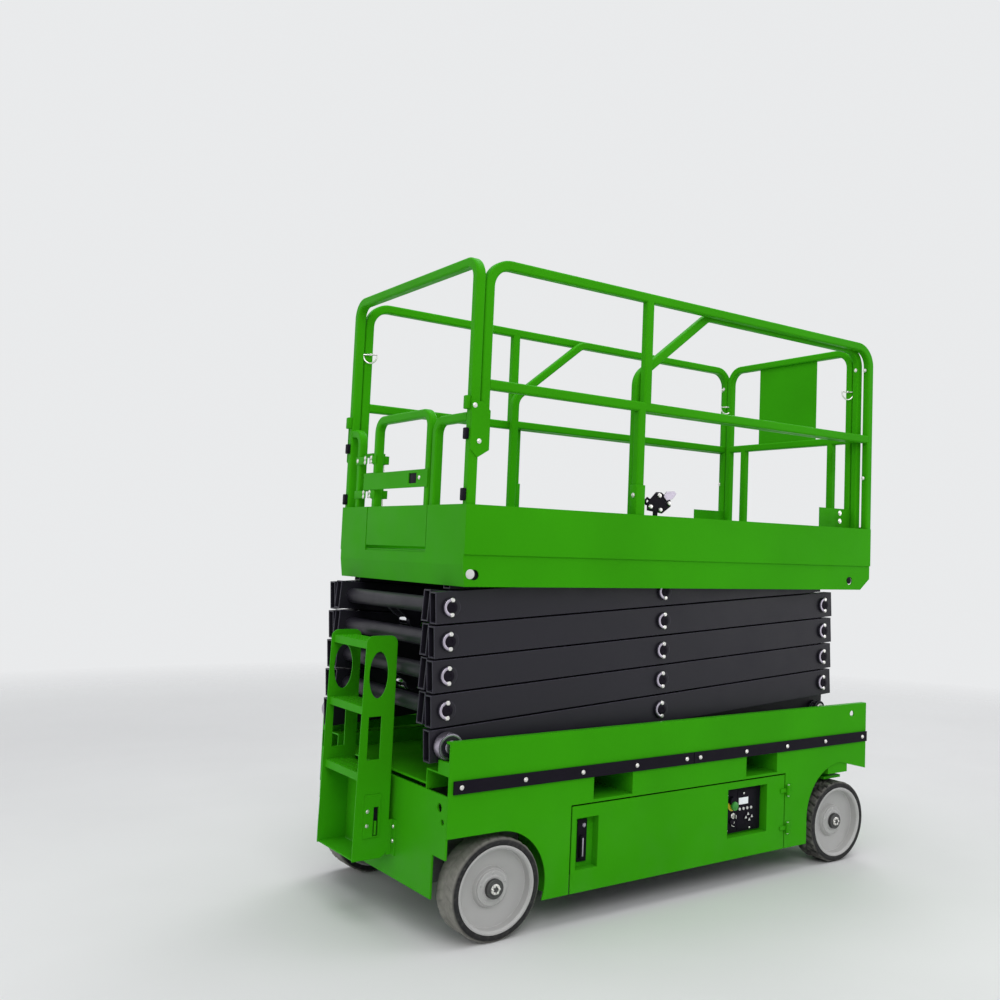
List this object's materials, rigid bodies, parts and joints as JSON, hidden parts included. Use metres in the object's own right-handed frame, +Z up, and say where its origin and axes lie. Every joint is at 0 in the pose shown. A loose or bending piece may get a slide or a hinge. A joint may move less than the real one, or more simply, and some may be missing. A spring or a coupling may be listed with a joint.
{
  "type": "scissor lift",
  "caption": "Self-propelled slab scissor lift with a stacked linkage, railed platform with sliding deck, entry ladder, swing-out trays and steered front wheels.",
  "frame": {"origin": "on the ground under the middle of the whole outline", "axes": "+X forward to the steered wheels, +Y to the left side seen facing forward (far side in the picture), +Z up"},
  "size_m": [2.566, 1.2066, 2.591],
  "materials": {
    "green_paint": "gloss",
    "black_paint": "gloss",
    "grey_rim": "satin",
    "tyre_rubber": "matte",
    "black_plastic": "matte",
    "cast_hub": "rough",
    "battery_case": "matte",
    "tank_steel": "satin",
    "rod_chrome": "polished"
  },
  "bodies": {
    "chassis": {"chassis_side_near": "green_paint", "chassis_side_far": "green_paint", "fork_pockets": "green_paint", "chassis_floor": "green_paint", "rear_panel": "green_paint", "front_panel": "green_paint", "pivot_bracket": "black_paint", "ladder": "green_paint", "rub_strips": "black_plastic", "rear_axle": "cast_hub"},
    "tray_near": {"tray_door_near": "green_paint", "tray_near": "black_paint", "tray_battery_near": "battery_case", "ground_controls_near": "black_plastic"},
    "tray_far": {"tray_door_far": "green_paint", "tray_far": "black_paint", "tray_power_unit_far": "tank_steel"},
    "knuckle_near": {"knuckle_near": "green_paint"},
    "knuckle_far": {"knuckle_far": "green_paint"},
    "wheel_rear_near": {"rim_rear_near": "grey_rim", "tyre_rear_near": "tyre_rubber"},
    "wheel_rear_far": {"rim_rear_far": "grey_rim", "tyre_rear_far": "tyre_rubber"},
    "wheel_front_near": {"rim_front_near": "grey_rim", "tyre_front_near": "tyre_rubber"},
    "wheel_front_far": {"rim_front_far": "grey_rim", "tyre_front_far": "tyre_rubber"},
    "inner_1": {"arm_inner_1": "black_paint", "arm_cross_1": "black_paint"},
    "outer_1": {"arm_outer_1": "black_paint"},
    "inner_2": {"arm_inner_2": "black_paint", "arm_cross_2": "black_paint"},
    "outer_2": {"arm_outer_2": "black_paint"},
    "inner_3": {"arm_inner_3": "black_paint", "arm_cross_3": "black_paint"},
    "outer_3": {"arm_outer_3": "black_paint"},
    "inner_4": {"arm_inner_4": "black_paint", "arm_cross_4": "black_paint"},
    "outer_4": {"arm_outer_4": "black_paint"},
    "inner_5": {"arm_inner_5": "black_paint", "arm_cross_5": "black_paint"},
    "outer_5": {"arm_outer_5": "black_paint"},
    "barrel_1": {"cylinder_barrel_1": "black_paint"},
    "rod_1": {"cylinder_rod_1": "rod_chrome"},
    "barrel_2": {"cylinder_barrel_2": "black_paint"},
    "rod_2": {"cylinder_rod_2": "rod_chrome"},
    "platform": {"platform_deck": "green_paint", "platform_skirt": "green_paint", "platform_pivot": "black_paint", "rail_side_near": "green_paint", "rail_side_far": "green_paint", "rail_rear": "green_paint", "gate_side_rails": "green_paint"},
    "gate": {"gate": "green_paint"},
    "extension": {"extension_deck": "green_paint", "extension_rail_near": "green_paint", "extension_rail_far": "green_paint", "extension_front_rail": "green_paint", "lock_lever": "black_plastic"}
  },
  "joints": [
    {"name": "lift", "type": "hinge", "parent": "chassis", "child": "inner_1", "pos_m": [1.001, 0, 0.729], "axis": [0, 1, 0], "range_deg": [0, 57.5]},
    {"name": "cross_1", "type": "hinge", "parent": "inner_1", "child": "outer_1", "pos_m": [-0.0475, 0, 0.7928], "axis": [0, 1, 0], "range_deg": [-120, 0]},
    {"name": "fold_1", "type": "hinge", "parent": "outer_1", "child": "inner_2", "pos_m": [1.001, 0, 0.8566], "axis": [0, 1, 0], "range_deg": [0, 120]},
    {"name": "cross_2", "type": "hinge", "parent": "inner_2", "child": "outer_2", "pos_m": [-0.0475, 0, 0.9204], "axis": [0, 1, 0], "range_deg": [-120, 0]},
    {"name": "fold_2", "type": "hinge", "parent": "outer_2", "child": "inner_3", "pos_m": [1.001, 0, 0.9842], "axis": [0, 1, 0], "range_deg": [0, 120]},
    {"name": "cross_3", "type": "hinge", "parent": "inner_3", "child": "outer_3", "pos_m": [-0.0475, 0, 1.048], "axis": [0, 1, 0], "range_deg": [-120, 0]},
    {"name": "fold_3", "type": "hinge", "parent": "outer_3", "child": "inner_4", "pos_m": [1.001, 0, 1.1118], "axis": [0, 1, 0], "range_deg": [0, 120]},
    {"name": "cross_4", "type": "hinge", "parent": "inner_4", "child": "outer_4", "pos_m": [-0.0475, 0, 1.1756], "axis": [0, 1, 0], "range_deg": [-120, 0]},
    {"name": "fold_4", "type": "hinge", "parent": "outer_4", "child": "inner_5", "pos_m": [1.001, 0, 1.2394], "axis": [0, 1, 0], "range_deg": [0, 120]},
    {"name": "cross_5", "type": "hinge", "parent": "inner_5", "child": "outer_5", "pos_m": [-0.0475, 0, 1.3032], "axis": [0, 1, 0], "range_deg": [-120, 0]},
    {"name": "platform_level", "type": "hinge", "parent": "outer_5", "child": "platform", "pos_m": [0.9461, 0, 1.36366], "axis": [0, 1, 0], "range_deg": [0, 60]},
    {"name": "barrel_swing_1", "type": "hinge", "parent": "inner_1", "child": "barrel_1", "pos_m": [0.91566, 0, 0.80833], "axis": [0, 1, 0], "range_deg": [0, 13.34]},
    {"name": "rod_slide_1", "type": "slide", "parent": "barrel_1", "child": "rod_1", "axis": [-0.9987, 0, 0.0501], "range_m": [0, 1.681]},
    {"name": "barrel_swing_2", "type": "hinge", "parent": "inner_3", "child": "barrel_2", "pos_m": [0.91566, 0, 1.06353], "axis": [0, 1, 0], "range_deg": [0, 13.34]},
    {"name": "rod_slide_2", "type": "slide", "parent": "barrel_2", "child": "rod_2", "axis": [-0.9987, 0, 0.0501], "range_m": [0, 1.681]},
    {"name": "extend", "type": "slide", "parent": "platform", "child": "extension", "axis": [1, 0, 0], "range_m": [0, 0.9]},
    {"name": "gate_swing", "type": "hinge", "parent": "platform", "child": "gate", "pos_m": [-1.021, 0.33, 1.761], "axis": [0, 0, 1], "range_deg": [0, 90], "stiffness_Nm_per_rad": 6, "springref_deg": -17.19},
    {"name": "tray_swing_near", "type": "hinge", "parent": "chassis", "child": "tray_near", "pos_m": [0.669, -0.5943, 0.3], "axis": [0, 0, 1], "range_deg": [0, 100]},
    {"name": "tray_swing_far", "type": "hinge", "parent": "chassis", "child": "tray_far", "pos_m": [0.669, 0.5943, 0.3], "axis": [0, 0, 1], "range_deg": [-100, 0]},
    {"name": "steer_near", "type": "hinge", "parent": "chassis", "child": "knuckle_near", "pos_m": [1.034, -0.46, 0.4], "axis": [0, 0, 1], "range_deg": [-55, 55]},
    {"name": "steer_far", "type": "hinge", "parent": "chassis", "child": "knuckle_far", "pos_m": [1.034, 0.46, 0.4], "axis": [0, 0, 1], "range_deg": [-55, 55]},
    {"name": "roll_rear_near", "type": "hinge", "parent": "chassis", "child": "wheel_rear_near", "pos_m": [-0.896, -0.5215, 0.1905], "axis": [0, 1, 0], "continuous": true},
    {"name": "roll_front_near", "type": "hinge", "parent": "knuckle_near", "child": "wheel_front_near", "pos_m": [1.034, -0.5215, 0.1905], "axis": [0, 1, 0], "continuous": true},
    {"name": "roll_rear_far", "type": "hinge", "parent": "chassis", "child": "wheel_rear_far", "pos_m": [-0.896, 0.5215, 0.1905], "axis": [0, 1, 0], "continuous": true},
    {"name": "roll_front_far", "type": "hinge", "parent": "knuckle_far", "child": "wheel_front_far", "pos_m": [1.034, 0.5215, 0.1905], "axis": [0, 1, 0], "continuous": true}
  ],
  "couplings": [
    {"joint": "cross_1", "follows": "lift", "ratio": -2},
    {"joint": "fold_1", "follows": "lift", "ratio": 2},
    {"joint": "cross_2", "follows": "lift", "ratio": -2},
    {"joint": "fold_2", "follows": "lift", "ratio": 2},
    {"joint": "cross_3", "follows": "lift", "ratio": -2},
    {"joint": "fold_3", "follows": "lift", "ratio": 2},
    {"joint": "cross_4", "follows": "lift", "ratio": -2},
    {"joint": "fold_4", "follows": "lift", "ratio": 2},
    {"joint": "cross_5", "follows": "lift", "ratio": -2},
    {"joint": "platform_level", "follows": "lift", "ratio": 1},
    {"joint": "barrel_swing_1", "follows": "lift", "ratio": 0.21757},
    {"joint": "rod_slide_1", "follows": "lift", "m_per_rad": 1.6702},
    {"joint": "barrel_swing_2", "follows": "lift", "ratio": 0.21757},
    {"joint": "rod_slide_2", "follows": "lift", "m_per_rad": 1.6702},
    {"joint": "steer_far", "follows": "steer_near", "ratio": 1}
  ]
}
